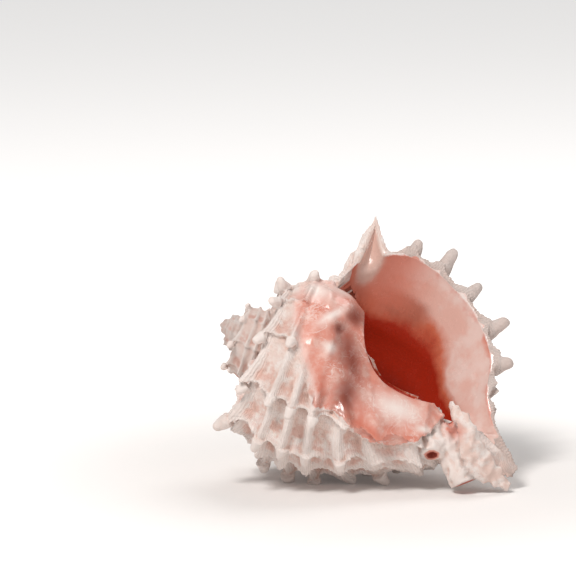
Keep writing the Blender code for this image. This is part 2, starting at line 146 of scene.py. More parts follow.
def shell_point(r, z, degrees):
    """Millimetres in the shell's own frame: x up in the lying shell, y forwards, z from apex to canal."""
    angle = np.radians(LIP_ANGLE + degrees)
    bend = CANAL_BEND * np.clip(z - BEND_FROM, 0.0, None)**2
    return np.stack([r * np.cos(angle) - bend, r * np.sin(angle), z], axis=-1)


print("each turn is", WHORL_GROWTH, "times the size of the turn before")

# %% The lie of the shell on the ground
AXIS_DROP, AXIS_SWING, VIEW_TILT = 26.5, 5.1, 10.0      # degrees: axis down, canal forwards, camera above level
APEX_PLACE = Vector((-0.0503, -0.0001, 0.0549))


def lie():
    """World from the shell's own frame."""
    drop, swing, tilt = math.radians(AXIS_DROP), math.radians(AXIS_SWING), math.radians(VIEW_TILT)
    right = Vector((1.0, 0.0, 0.0))
    up = Vector((0.0, math.sin(tilt), math.cos(tilt)))
    front = Vector((0.0, -math.cos(tilt), math.sin(tilt)))
    level = math.cos(drop) * right - math.sin(drop) * up
    axis = math.cos(swing) * level + math.sin(swing) * front
    forward = math.cos(swing) * front - math.sin(swing) * level
    above = math.sin(drop) * right + math.cos(drop) * up
    turn = Matrix((above, forward, axis)).transposed().to_4x4()
    return Matrix.Translation(APEX_PLACE) @ turn @ Matrix.Scale(MM, 4)


LIE = lie()
print("the axis drops", AXIS_DROP, "degrees towards the canal")

# %% [markdown]
# ## Ridges, cords and rows of spines
# Cords run along the whorl. At each pause in growth the shell threw up a ridge across them, with
# a spine where a cord crosses. The ridge climbs slowly and falls away at once on the younger side,
# where it hangs over. All of that is a height over the plain whorl, as a function of the growth
# angle and the place on the outline, so it can be moved without touching the mesh.

# %% Cords and rows
CORDS = [0.17, 0.30, 0.395, 0.49, 0.59, 0.68, 0.765, 0.835]
CORD_WIDTH, CORD_BROADENS, CORD_HEIGHT = 0.019, 0.15, 2.6
# Each row: growth angle, height of its ridge, lengths of its spines on the cords, and how far they slant
ROWS = [
    (-9.0, 4.2, (0.0, 0.0, 0.0, 0.0, 0.0, 0.0), 0.0),
    (-36.0, 3.6, (5.0, 6.5, 7.0, 7.0, 6.0, 2.0), 0.0),
    (-78.0, 4.0, (6.0, 4.5, 5.0, 5.0, 4.0, 2.0), 0.1),
    (-117.0, 4.4, (5.4, 6.4, 7.4, 8.0, 5.4, 1.4), 0.2),
    (-149.0, 5.6, (2.6, 3.4, 4.0, 4.0, 4.0, 3.2), 0.6),
    (-172.0, 6.2, (0.0, 0.0, 0.0, 0.0, 0.0, 0.0), 0.0),
    (-190.0, 8.0, (6.6, 2.6, 2.0, 2.0, 1.6, 1.0), 0.0),
    (-222.0, 7.2, (3.6, 2.2, 1.8, 1.8, 1.2, 1.0), 0.0),
    (-262.0, 5.4, (3.6, 2.4, 1.8, 1.4, 1.0, 1.0), 0.0),
    (-298.0, 5.4, (5.0, 3.4, 2.6, 1.8, 1.0, 1.0), 0.0),
    (-331.0, 5.4, (7.4, 6.4, 3.4, 1.8, 1.0, 1.0), 0.0),
    (-372.0, 6.0, (6.0, 2.4, 1.6, 1.0, 1.0, 1.0), 0.0),
    (-415.0, 6.0, (6.0, 2.4, 1.6, 1.0, 1.0, 1.0), 0.0),
]
OLDEST, OLD_ROW_STEP, OLD_ROW = -1700.0, 45.0, (5.6, (4.0, 1.6, 1.0, 0.0, 0.0, 0.0), 0.0)


def all_rows():
    rows = list(ROWS)
    angle = ROWS[-1][0] - OLD_ROW_STEP
    while angle > OLDEST:
        rows.append((angle, *OLD_ROW))
        angle -= OLD_ROW_STEP
    return rows


print(len(all_rows()), "ridges across the shell")

# %% Height over the plain whorl
RAMP, RISE_POWER, DROP = 24.0, 1.7, 2.0      # degrees over which a ridge climbs, its curve, degrees of its fall
LEAN, LEAN_BETWEEN, BETWEEN_CORDS = 7.5, 0.35, 0.45     # degrees a ridge hangs over, shares between the cords
ENDS_FADE = (0.05, 0.93, 0.20)      # relief starts over this, ends at this place, and fades over this before it
WEBS = {-9.0: 0.7, -149.0: 0.8, -172.0: 0.85, -190.0: 0.80, -222.0: 0.55}     # rows with a higher web
SCOOP, SCOOP_SHAPE = 2.2, 4.0       # depth scooped out between the ribs behind a crest
CREST_EDGE, EDGE_FROM, EDGE_OVER = 0.9, 0.8, 0.2        # height of a crest's sharp edge, where it rises
FULL_SCOOP, FULL_LEAN = 6.0, 4.0    # height of a ridge that is scooped, or hangs over, in full
# Waves, each as size, how often along the outline, where it starts, and how that moves from ridge to ridge
WANDER, WANDER_WAVES, WAVES_REACH = 1.5, ((1.0, 47.0, 0.0, 2.1), (0.6, 101.0, 0.0, 3.7)), 1.6
UNEVEN, UNEVEN_WAVES = 0.14, ((1.0, 71.0, 0.0, 1.3),)
# A growth line's curve, its least strength, and the wave by which that varies from line to line
FRILL_POWER, FRILL_LEAST, FRILL_VARIES = 2.5, 0.55, (0.45, 2.4, 0.8)
FRILL_WAVES = ((0.35, 31.0, 0.0, 0.0), (0.3, 13.0, 1.7, 0.0))
# Beside the open spine: on the outline without threads and without lean, and degrees back from the lip
SPINE_CLEARS_THREADS, SPINE_CLEARS_LEAN, SPINE_CLEARS_BACK = 0.08, 0.07, 25.0
# Swellings under the callus: growth angle, place, spread in both, thickness
PADS = [(-322.0, 0.50, 34.0, 0.17, 16.0), (-345.0, 0.30, 22.0, 0.12, 7.0)]
COVER_FROM, COVER_TO, SHOWING_THROUGH = -352.0, -230.0, 0.16
COVER_EDGE = [(-352.0, 0.38), (-325.0, 0.36), (-305.0, 0.27), (-262.0, 0.29), (-232.0, 0.42)]
COVER_BLEND, COVER_SOFT = 12.0, 0.05         # how softly the cover starts, in degrees and on the outline
THREADS, THREAD_HEIGHT = 34.0, 0.22          # fine spiral threads: number across the outline, height
FRILL_STEP, FRILL_HEIGHT = 6.5, 0.60         # growth lines: degrees between them, height


def ridge(past):
    rise = np.clip(1.0 + past / RAMP, 0.0, 1.0)**RISE_POWER
    fall = np.clip(1.0 - past / DROP, 0.0, 1.0)
    return np.where(past <= 0.0, rise, fall)


def cord_bumps(v, lift=0.0):
    """Cords are broader where a ridge lifts them."""
    width = CORD_WIDTH * (1.0 + CORD_BROADENS * lift)
    return np.clip(sum(np.exp(-((v - place) / width)**2) for place in CORDS), 0.0, 1.0)


def ends_fade(v):
    start, end, over = ENDS_FADE
    return np.clip(v / start, 0.0, 1.0) * np.clip((end - v) / over, 0.0, 1.0)


def cover(degrees, v):
    """1 where callus hides the ridges, 0 elsewhere."""
    ends = step((degrees - COVER_FROM) / COVER_BLEND) * step((COVER_TO - degrees) / COVER_BLEND)
    start = np.interp(degrees, [angle for angle, _ in COVER_EDGE], [place for _, place in COVER_EDGE])
    return ends * step((v - start) / COVER_SOFT)


def waves(v, table, number=0):
    """The sum of the waves in a table, for the ridge of that number."""
    return sum(size * np.sin(v * often + start + moves * number) for size, often, start, moves in table)


def beside_spine(degrees, v, wide):
    """1 beside the open spine near the lip, 0 away from it."""
    return np.exp(-((v - OPEN_SPINE_AT) / wide)**2) * step(1.0 + degrees / SPINE_CLEARS_BACK)


def fine_relief(degrees, v):
    """Growth lines and spiral threads, finer than the solid needs."""
    phase = degrees / FRILL_STEP + waves(v, FRILL_WAVES)
    size, often, start = FRILL_VARIES
    strength = FRILL_LEAST + size * np.sin(np.floor(phase) * often + start)
    frill = (phase - np.floor(phase))**FRILL_POWER * strength
    thread = 0.5 + 0.5 * np.cos(2.0 * math.pi * THREADS * v)
    return FRILL_HEIGHT * frill + THREAD_HEIGHT * thread


def relief(degrees, v, fine=False):
    """Height over the plain whorl, the angle by which it hangs over, and how far it is scooped."""
    bumps = cord_bumps(v)
    shown = ends_fade(v) * (1.0 - (1.0 - SHOWING_THROUGH) * cover(degrees, v))
    height = CORD_HEIGHT * bumps * shown
    if fine:
        clear = 1.0 - beside_spine(degrees, v, SPINE_CLEARS_THREADS)
        height = height + fine_relief(degrees, v) * shown * clear
    lean = np.zeros_like(v)
    hollow = np.zeros_like(v)
    for number, (angle, tall, _, _) in enumerate(all_rows()):
        if abs(degrees - angle) < RAMP + WANDER:
            crest = angle + WANDER * waves(v, WANDER_WAVES, number) / WAVES_REACH
            lift = ridge(degrees - crest)
            broad = cord_bumps(v, lift)
            uneven = 1.0 + UNEVEN * waves(v, UNEVEN_WAVES, number)
            web = WEBS.get(angle, BETWEEN_CORDS)
            height = height + tall * uneven * lift * (web + (1.0 - web) * broad) * shown
            scooped = SCOOP_SHAPE * lift * (1.0 - lift) * (1.0 - broad)
            edge = CREST_EDGE * step((lift - EDGE_FROM) / EDGE_OVER)
            height = height + (edge - SCOOP * scooped) * min(tall / FULL_SCOOP, 1.0) * shown
            hollow = np.maximum(hollow, scooped * shown)
            clear = 1.0 - beside_spine(degrees, v, SPINE_CLEARS_LEAN)
            hangs = LEAN_BETWEEN + (1.0 - LEAN_BETWEEN) * broad
            lean = lean + LEAN * min(tall / FULL_LEAN, 1.0) * lift * hangs * shown * clear
    for angle, place, wide, high, thick in PADS:
        height = height + thick * np.exp(-((degrees - angle) / wide)**2 - ((v - place) / high)**2)
    return height, lean, hollow


ridge_at_lip = relief(ROWS[0][0], np.linspace(0.0, 1.0, 200))[0]
print("the ridge at the lip is up to", round(float(ridge_at_lip.max()), 1), "mm high")

# %% [markdown]
# ## Where the callus lies
# Callus is a glaze that the animal laid over the old whorl beside its mouth. Its border has no
# rule of growth, so it is drawn: a closed line of a few places as they are seen from the mouth's
# side, along the shell and across it. Each place on the whorl gets its distance inside
# that line, and the glaze stands up over the old shell as a thin sheet with a raised lower edge.

# %% The callus, in millimetres along and across the shell
CALLUS_BORDER = [(18.0, 20.3), (17.5, 24.0), (20.5, 27.5), (28.0, 30.3), (33.0, 29.5), (75.0, 38.0),
                 (92.0, 5.0), (84.0, 6.2), (79.7, 0.3), (76.0, -6.3), (69.4, -10.8), (61.8, -13.0),
                 (55.6, -12.2), (51.0, -10.3), (47.0, -9.2), (43.2, -11.0), (41.1, -12.0), (38.7, -8.8),
                 (36.2, -6.0), (31.5, -1.5), (27.6, 3.1), (22.6, 9.1), (20.0, 13.2), (18.9, 16.2)]
CALLUS_AGES = (-420.0, -175.0)      # growth angles of the whorl that it covers


def seen_from_mouth(places):
    """Distance along the shell and across it, as the eye in front of the mouth sees them."""
    swing = math.radians(AXIS_SWING)
    return np.stack([math.cos(swing) * places[:, 2] - math.sin(swing) * places[:, 1], places[:, 0]], axis=-1)


def distance_inside(flat, border):
    """Distance to a closed line, positive inside it."""
    border = np.asarray(border, float)
    nearest_yet = np.full(len(flat), 1e9)
    crossings = np.zeros(len(flat), int)
    for a, b in zip(border, np.roll(border, -1, axis=0)):
        along = np.clip(((flat - a) @ (b - a)) / ((b - a) @ (b - a)), 0.0, 1.0)
        nearest_yet = np.minimum(nearest_yet, np.linalg.norm(flat - a - along[:, None] * (b - a), axis=1))
        spans = (a[1] > flat[:, 1]) != (b[1] > flat[:, 1])
        with np.errstate(divide="ignore", invalid="ignore"):
            at = a[0] + (flat[:, 1] - a[1]) / (b[1] - a[1]) * (b[0] - a[0])
        crossings += spans & (flat[:, 0] < at)
    return np.where(crossings % 2 == 1, nearest_yet, -nearest_yet)


FAR = 10.0                          # distances to the callus's border are kept up to this, in mm
FRONT_FROM = 3.0                    # how far ahead of the axis the mouth's side starts, mm
SHEET_THIN, SHEET_THICK, SHEET_FROM = 0.35, 2.2, (38.0, 50.0)     # thickness, and where along it thickens
EDGE_ROLL, EDGE_WIDTH, EDGE_RISE = 0.8, 0.8, 0.9
# Bulges and hollows of the callus: along, across, spread along, spread across, turn, height
MODELLING = [(25.5, 25.0, 6.5, 3.0, -12.0, 1.2), (33.0, 19.0, 6.0, 1.6, -42.0, 1.0),
             (30.0, 21.0, 6.0, 1.3, -30.0, -0.9), (45.0, 9.6, 10.0, 4.0, -50.0, -3.0),
             (49.0, -3.0, 6.0, 4.0, -84.0, -2.4), (49.5, 8.0, 11.0, 1.0, -52.0, 0.7),
             (66.0, -2.5, 11.0, 4.5, -6.0, 1.2),
             (38.0, -3.0, 2.2, 6.0, 10.0, 0.7), (43.5, -7.5, 1.6, 3.5, 0.0, -0.8)]


def spread(flat, along, across, wide, high, turned):
    """A soft round share, 1 at a place and 0 away from it."""
    c, s = math.cos(math.radians(turned)), math.sin(math.radians(turned))
    x, y = flat[:, 0] - along, flat[:, 1] - across
    return np.exp(-((c * x + s * y) / wide)**2 - ((c * y - s * x) / high)**2)


def ragged(flat):
    """How far the border of the callus wanders."""
    wave = 0.5 * np.sin(flat[:, 0] * 1.9) * np.sin(flat[:, 1] * 2.3 + 1.0)
    return wave + 0.3 * np.sin(flat[:, 0] * 4.1)


def callus_at(places, degrees):
    """Distance inside the callus and the height that it adds, for points of the whorl."""
    if not CALLUS_AGES[0] < degrees < CALLUS_AGES[1]:
        return np.full(len(places), -FAR), np.zeros(len(places))
    flat = seen_from_mouth(places)
    inside = np.where(places[:, 1] > FRONT_FROM, distance_inside(flat, CALLUS_BORDER), -FAR)
    inside = inside + ragged(flat)
    thickens = step((flat[:, 0] - SHEET_FROM[0]) / (SHEET_FROM[1] - SHEET_FROM[0]))
    thick = SHEET_THIN + (SHEET_THICK - SHEET_THIN) * thickens
    height = thick * step(inside / EDGE_RISE)
    height = height + EDGE_ROLL * (thick / SHEET_THICK) * np.exp(-((inside - EDGE_WIDTH) / EDGE_WIDTH)**2)
    for along, across, wide, high, turned, tall in MODELLING:
        height = height + tall * spread(flat, along, across, wide, high, turned) * step(inside / 3.0 + 0.3)
    return np.clip(inside, -FAR, FAR), height


print(len(CALLUS_BORDER), "places on the border of the callus")

# %% [markdown]
# ## The whorls
# A tube is a grid sheet laid through rings of points and rolled shut. The grid operator makes the
# sheet with all its faces in order, and only its vertices are moved to the rings. While the rings
# are made, each point's growth angle and place on the outline are noted, because the finish will
# need them again after the pieces are fused.

# %% A helper for tubes, and notes on where points came from
PLAIN = {"crest": 0.0, "hollow": 0.0, "callus": -FAR, "mouth": 0.0, "gutter": 0.0, "flap": 0.0, "pit": 0.0}
NOTES = {name: [] for name in ("point", "growth", "place", *PLAIN)}


def note(points, degrees, place, **unlike_plain):
    """Remember what each point of a ring is, for the finish."""
    NOTES["point"].append(np.asarray(points, float))
    for name, number in {"growth": degrees, "place": place, **PLAIN, **unlike_plain}.items():
        NOTES[name].append(np.broadcast_to(np.asarray(number, float), (len(points),)))


def tube(rings):
    rows, count = len(rings), len(rings[0])
    bm = bmesh.new()
    bmesh.ops.create_grid(bm, x_segments=count, y_segments=rows - 1, size=1.0)
    for index, vert in enumerate(bm.verts):
        vert.co = rings[index // (count + 1)][index % (count + 1) % count]
    bmesh.ops.remove_doubles(bm, verts=bm.verts, dist=1e-6)
    bmesh.ops.holes_fill(bm, edges=bm.edges, sides=0)
    bmesh.ops.recalc_face_normals(bm, faces=bm.faces)
    bmesh.ops.transform(bm, matrix=LIE, verts=bm.verts)
    return mesh_of(bm, "tube")


# %% The growing whorls
FINE_FROM, FINE_STEP, COARSE_STEP = -470.0, 1.0, 3.0
OUTLINE_POINTS, AXIAL_POINTS = 300, 16
TALLEST = 6.0                       # height at which a crest counts as fully one, mm


def whorl_rings():
    v = np.sort(np.concatenate([np.linspace(0.0, 1.0, OUTLINE_POINTS), NEAR_SPINE]))
    axial = smooth_curve(AXIAL_SIDE, np.linspace(0.0, 1.0, AXIAL_POINTS))
    fine = np.arange(0.0, FINE_FROM, -FINE_STEP)
    coarse = np.arange(FINE_FROM, OLDEST, -COARSE_STEP)
    rings = []
    for degrees in np.concatenate([fine, coarse])[::-1]:
        height, lean, hollow = relief(degrees, v, fine=True)
        lean = lean + OPEN_SPINE_LEAN * open_spine(v, degrees)
        base, normals = flared(v, degrees)
        outer = grown(base, degrees) + normals * (height * growth(degrees))[:, None]
        inner = grown(axial, degrees)
        inside, glaze = callus_at(shell_point(outer[:, 0], outer[:, 1], degrees + lean), degrees)
        outer = outer + normals * glaze[:, None]
        places = shell_point(outer[:, 0], outer[:, 1], degrees + lean)
        note(places, degrees, v, crest=height / TALLEST, hollow=hollow, callus=inside)
        rings.append(np.concatenate([places, shell_point(inner[:, 0], inner[:, 1], degrees)]))
    return rings


pieces = [tube(whorl_rings())]
print("whorls:", len(pieces[0].polygons), "faces")

# %% [markdown]
# ## Spines
# Each spine is a short horn: rings of shrinking radius along a path that starts inside the whorl
# and ends in the open. Starting below the surface lets the horn fuse with the whorl without a gap.

# %% Horns on the cords
SPINE_FOOT, SHORTEST_SPINE, WIDEST_SPINE = 2.0, 0.8, 3.1
SPINE_RADIUS, RADIUS_BY_LENGTH, RADIUS_LEAST = 1.8, 0.22, 0.5
SHOULDER_AHEAD = 7.0                # degrees by which the spines on the shoulder run ahead of their row
LESSER_SPINES = [(-17.0, 0.25, 6.5), (-18.0, 0.355, 9.0), (-18.0, 0.445, 9.0), (-17.0, 0.54, 7.5)]
LIP_KNOBS = [(-9.0, 0.318, 7.5), (-9.0, 0.40, 8.5), (-9.0, 0.495, 8.0), (-9.0, 0.595, 6.8), (-9.0, 0.69, 5.0)]
# A blunt spine's sections: share of its length, share of the ridge's lean, share of its radius
BLUNT = ((0.0, 0.3, 1.1), (0.45, 0.8, 0.86), (0.78, 1.0, 0.68), (0.95, 1.05, 0.48), (1.0, 1.1, 0.24))


def horn_rings(path, radii, sides=14):
    path = [Vector(point) for point in path]
    angles = [2.0 * math.pi * k / sides for k in range(sides)]
    rings = []
    for index, centre in enumerate(path):
        ahead = path[min(index + 1, len(path) - 1)] - path[max(index - 1, 0)]
        turn = ahead.to_track_quat("Z", "Y").to_matrix()
        rings.append([centre + radii[index] * (turn @ Vector((math.cos(a), math.sin(a), 0.0))) for a in angles])
    return rings


def spines():
    stands = [(degrees, place, length, slant) for degrees, _, lengths, slant in all_rows()
              for place, length in zip(CORDS, lengths)]
    stands += [(degrees, place, length, 0.0) for degrees, place, length in LESSER_SPINES + LIP_KNOBS]
    made = []
    for degrees, place, length, slant in stands:
        g = float(growth(degrees))
        v = np.array([place])
        if length * g < SHORTEST_SPINE or cover(degrees, v)[0] > 0.5:
            continue
        base, normal = flared(v, degrees)
        high = relief(degrees, v)[0][0]
        foot = grown(base, degrees) + normal * (high - SPINE_FOOT) * g
        tip = grown(base, degrees) + (normal * (high + length) + (0.0, slant * length)) * g
        ahead = SHOULDER_AHEAD if place == CORDS[0] else 0.0
        path = []
        for up, turn, _ in BLUNT:
            r, z = (foot + up * (tip - foot))[0]
            path.append(shell_point(r, z, degrees + ahead + LEAN * turn))
        wide = min((SPINE_RADIUS + RADIUS_BY_LENGTH * length) * g + RADIUS_LEAST, WIDEST_SPINE)
        rings = horn_rings(path, [wide * slim for _, _, slim in BLUNT])
        for ring in rings:
            note(ring, degrees, place, crest=0.8)
        made.append(tube(rings))
    return made


pieces += spines()
print(len(pieces) - 1, "spines")

# %% [markdown]
# ## The flap and the old canals
# On the real shell the flap beside the canal is a sheet of shell that folded over while it grew.
# Here it is a flattened tube, pushed in and out by noise. Each old canal is a stub whose end will
# be hollowed with a cutter. Both start inside the whorl, so that they fuse with it.

# %% The flap and the old canals
# centre of each section and its half width: up, ahead, along the shell, half width
FLAP = [(10.5, 5.5, 82.5, 0.9), (9.2, 7.0, 84.5, 2.0), (7.0, 8.5, 88.0, 2.9), (4.6, 9.0, 91.5, 4.0),
        (1.2, 8.5, 95.0, 5.7), (-1.8, 7.5, 98.5, 5.4), (-3.8, 6.0, 103.0, 4.7), (-5.2, 4.0, 108.5, 3.0),
        (-6.5, 2.0, 113.5, 1.6)]
FLAP_SIDES, FLAP_RINGS, STUB_SIDES = 48, 60, 36
FLAP_THICKNESS, CRUMPLE, CRUMPLE_SCALE = 0.36, 1.5, 0.42     # share of the width, mm, folds per mm
FINER_FOLDS = (0.5, 2.7)            # height and scale of finer folds, against the large ones
STUB_AGE = -60.0
STUBS = [(((1.0, 1.0, 84.0), (-4.0, 3.0, 91.0), (-11.5, 4.0, 99.5)), (5.5, 5.5, 4.6)),
         (((3.0, 0.0, 77.0), (-1.5, 3.5, 81.0), (-8.0, 9.0, 85.5)), (5.8, 5.4, 3.9))]
STUB_HOLLOWS = (0.62, 0.40)


def crumpled(point, centre):
    """The point pushed in or out from a centre by folds of noise."""
    share, scale = FINER_FOLDS
    fold = noise.noise(point * CRUMPLE_SCALE) + share * noise.noise(point * CRUMPLE_SCALE * scale)
    return point + CRUMPLE * fold * (point - centre).normalized()


def flap_rings():
    across = [2.0 * math.pi * k / FLAP_SIDES for k in range(FLAP_SIDES)]
    rings = []
    for above, ahead, z, half in smooth_curve(FLAP, np.linspace(0.0, 1.0, FLAP_RINGS)):
        ring = []
        for a in across:
            point = Vector((above + half * math.cos(a), ahead + half * FLAP_THICKNESS * math.sin(a), z))
            ring.append(crumpled(point, Vector((above, ahead, z))))
        note(ring, 0.0, 0.9, flap=1.0)
        rings.append(ring)
    return rings


pieces.append(tube(flap_rings()))
for path, radii in STUBS:
    along = np.linspace(0.0, 1.0, 14)
    path = [Vector(centre) for centre in smooth_curve(path, along)]
    radii = np.interp(along, (0.0, 0.5, 1.0), radii).tolist()
    rings = horn_rings(path, radii, STUB_SIDES)
    stub = [[crumpled(point, centre) for point in ring] for ring, centre in zip(rings, path)]
    for ring in stub:
        note(ring, STUB_AGE, 0.85, crest=0.5)
    pieces.append(tube(stub))
print(len(pieces), "pieces to fuse")

# %% [markdown]
# ## Fusing and hollowing
# A voxel remesh turns the overlapping tubes into one skin, with spines that grow out of the whorl
# in a soft fillet. The hollow of the mouth is then cut with a Boolean, because its edge, the lip,
# has to stay thin and crisp.

# %% Fuse the pieces
VOXEL, QUICK_VOXEL = 0.48 * MM, 0.9 * MM


def joined(meshes, name):
    bm = bmesh.new()
    for mesh in meshes:
        bm.from_mesh(mesh)
        bpy.data.meshes.remove(mesh)
    return mesh_of(bm, name)


def applied(obj):
    """The object's mesh with its modifiers worked in."""
    graph = bpy.context.evaluated_depsgraph_get()
    mesh = bpy.data.meshes.new_from_object(obj.evaluated_get(graph))
    obj.modifiers.clear()
    obj.data = mesh


def keep_largest(mesh):
    """Drop the small pockets left inside where pieces met."""
    bm = bmesh.new()
    bm.from_mesh(mesh)
    waiting = set(bm.verts)
    surfaces = []
    while waiting:
        found = {waiting.pop()}
        search = set(found)
        while search:
            search = {edge.other_vert(vert) for vert in search for edge in vert.link_edges} - found
            found |= search
        waiting -= found
        surfaces.append(found)
    surfaces.sort(key=len)
    bmesh.ops.delete(bm, geom=[vert for surface in surfaces[:-1] for vert in surface], context="VERTS")
    bm.to_mesh(mesh)
    bm.free()
    return len(surfaces) - 1


shell = placed("shell_surface", joined(pieces, "shell_surface"))
remesh = shell.modifiers.new("one_surface", "REMESH")
remesh.mode = "VOXEL"
remesh.voxel_size = VOXEL
applied(shell)
print("fused:", len(shell.data.polygons), "faces,", keep_largest(shell.data), "pockets dropped")

# %% Cutters for the mouth and the old canals
LIP_WALL, WALL, INNER_SKIN = 1.3, 3.0, 1.2      # thickness: at the lip, further in, over the older whorl
HOLLOW_OUTER, HOLLOW_UNDER = (0.125, 0.90), (0.90, 0.37)     # between which places on the outline
OUTER_PLACES, UNDER_PLACES, HOLLOW_RINGS = 150, 90, 190
KEPT_APART = 1e-4                   # keeps the places of the roof apart where they are pushed together
HOLLOW_LENGTH, HOLLOW_CLOSING, HOLLOW_AHEAD = 175.0, 60.0, 8.0      # degrees
CLOSED = 0.02                       # share of the closing at the very end, so that the tube keeps a section
ROOF_FROM, ROOF_OVER, ROOF_CLEARS = 3.0, 24.0, 0.09     # degrees from which and over which the roof comes down
UNDER_CLEARS = 1.3 * ROOF_CLEARS
# A stub's hollow: its depth, and each section's place and width, all as shares of the stub's end
STUB_DEPTH = 1.6
STUB_SECTIONS = ((-STUB_DEPTH, 0.4), (-0.7, 0.8), (0.0, 1.0), (1.0, 1.3))
GROUND_SIZE = 0.3                   # metres, larger than the shell


def hollow_rings():
    at_lip = np.sort(np.concatenate([np.linspace(*HOLLOW_OUTER, OUTER_PLACES), NEAR_SPINE]))
    at_lip = at_lip[at_lip >= HOLLOW_OUTER[0]]
    rings = []
    for degrees in np.linspace(HOLLOW_AHEAD, -HOLLOW_LENGTH, HOLLOW_RINGS):
        # further in, the roof keeps clear of the seam between the whorls
        further_in = float(step((-degrees - ROOF_FROM) / ROOF_OVER))
        outer_v = np.clip(at_lip, HOLLOW_OUTER[0] + ROOF_CLEARS * further_in, 1.0)
        outer_v = outer_v + KEPT_APART * (HOLLOW_OUTER[1] - at_lip) * further_in
        under_v = np.linspace(HOLLOW_UNDER[0], HOLLOW_UNDER[1] + UNDER_CLEARS * further_in, UNDER_PLACES)
        near_lip = np.clip(1.0 + degrees / LIP_RAMP, 0.0, 1.0)
        wall = WALL + (LIP_WALL - WALL) * near_lip
        base, normals = flared(outer_v, degrees, inset=1.0)
        lean = OPEN_SPINE_LEAN * open_spine(outer_v, degrees, inset=1.0)
        outer = grown(base, degrees) - normals * (wall * growth(degrees))
        older = degrees - 360.0
        base, normals = flared(under_v, older)
        lift = (relief(older, under_v)[0] + INNER_SKIN) * growth(older)
        inner = grown(base, older) + normals * lift[:, None]
        ring = np.concatenate([outer, inner])
        middle = ring.mean(axis=0)
        closing = np.sqrt(np.clip((degrees + HOLLOW_LENGTH) / HOLLOW_CLOSING, CLOSED, 1.0))
        ring = middle + (ring - middle) * closing
        places = shell_point(ring[:, 0], ring[:, 1], degrees + np.concatenate([lean, np.zeros(len(under_v))]))
        if degrees < 0.0:
            groove = np.concatenate([step(open_spine(outer_v, degrees) * 6.0), np.zeros(len(under_v))])
            note(places, degrees, np.concatenate([outer_v, under_v]), mouth=1.0, callus=FAR, gutter=groove)
        rings.append(places)
    return rings


def stub_hollow_rings(path, radii, hollow):
    end = Vector(path[-1])
    out = (end - Vector(path[-2])).normalized()
    wide = radii[-1]
    places = [end + out * wide * ahead for ahead, _ in STUB_SECTIONS]
    rings = horn_rings(places, [wide * hollow * share for _, share in STUB_SECTIONS], 24)
    for ring in rings[:-1]:
        note(ring, STUB_AGE, 0.85, pit=0.5 if hollow > 0.5 else 1.0)
    return rings


def ground_block():
    """What reaches below the ground is worn off flat."""
    bm = bmesh.new()
    bmesh.ops.create_cube(bm, size=GROUND_SIZE, matrix=Matrix.Translation((0.0, 0.0, -GROUND_SIZE / 2.0)))
    return mesh_of(bm, "ground_block")


# Edge of the mouth on the callus's side, as seen from in front: along, across
MOUTH_EDGE = [(41.3, 28.5), (43.6, 23.5), (45.3, 19.2), (48.9, 13.4), (53.5, 9.4), (58.5, 6.7),
              (65.5, 5.8), (73.2, 6.8), (79.5, 9.6), (81.0, 15.0), (75.0, 26.0), (62.0, 34.0),
              (50.0, 36.0), (43.5, 33.5)]
# Sections of the opening: how far ahead of the axis, and how wide
OPENING_STEPS = ((45.0, 1.0), (12.0, 1.0), (0.0, 1.03), (-5.0, 1.0), (-9.0, 0.85), (-12.0, 0.6), (-13.5, 0.3))
OPENING_POINTS, BESIDE_CALLUS, NOTES_APART = 89, 46, 0.6     # the ring's first points lie beside the callus
GLAZE_REACHES = 1.0                 # mm ahead of the axis, where the callus ends round the mouth's edge
RED_FROM, RED_DEEPENS, RED_TO = -24.0, 4.0, -60.0       # growth angles noted behind it, change per mm


def opening_rings():
    """The edge of the mouth carried straight back into the whorl."""
    edge = smooth_curve(MOUTH_EDGE + MOUTH_EDGE[:1], np.linspace(0.0, 1.0, OPENING_POINTS + 1)[:-1])
    middle = edge.mean(axis=0)
    swing = math.radians(AXIS_SWING)
    rings = []
    for ahead, scale in OPENING_STEPS:
        flat = middle + (edge - middle) * scale
        z = (flat[:, 0] + math.sin(swing) * ahead) / math.cos(swing)
        ring = np.stack([flat[:, 1], np.full(len(flat), ahead), z], axis=-1)
        rings.append(ring)
    for near, beyond in zip(rings, rings[1:]):
        for share in np.linspace(0.0, 1.0, 1 + int(abs(near[0, 1] - beyond[0, 1]) / NOTES_APART)):
            wall = (near + share * (beyond - near))[:BESIDE_CALLUS]
            deep = GLAZE_REACHES - wall[0, 1]
            degrees = RED_FROM - RED_DEEPENS * max(deep, 0.0)
            note(wall, max(degrees, RED_TO), 0.5, mouth=float(deep > 0.0), callus=FAR)
    return rings


PIT = ((5.0, 3.0, 85.0), (4.0, 7.0, 87.0), (3.2, 14.0, 88.0))      # dark opening between callus and flap
pit = horn_rings(PIT, (1.0, 1.6, 2.2), 20)
for ring in pit[:-1]:
    note(ring, STUB_AGE, 0.85, pit=1.0)

cutters = [tube(hollow_rings()), tube(opening_rings()), ground_block(), tube(pit)]
cutters += [tube(stub_hollow_rings(path, radii, hollow)) for (path, radii), hollow in zip(STUBS, STUB_HOLLOWS)]
for number, mesh in enumerate(cutters):
    cutter = placed(f"cutter_{number}", mesh)
    cut = shell.modifiers.new("cut", "BOOLEAN")
    cut.operation = "DIFFERENCE"
    cut.solver = "MANIFOLD"
    cut.object = cutter
    applied(shell)
    bpy.data.objects.remove(cutter)
keep_largest(shell.data)
print("hollowed:", len(shell.data.polygons), "faces")

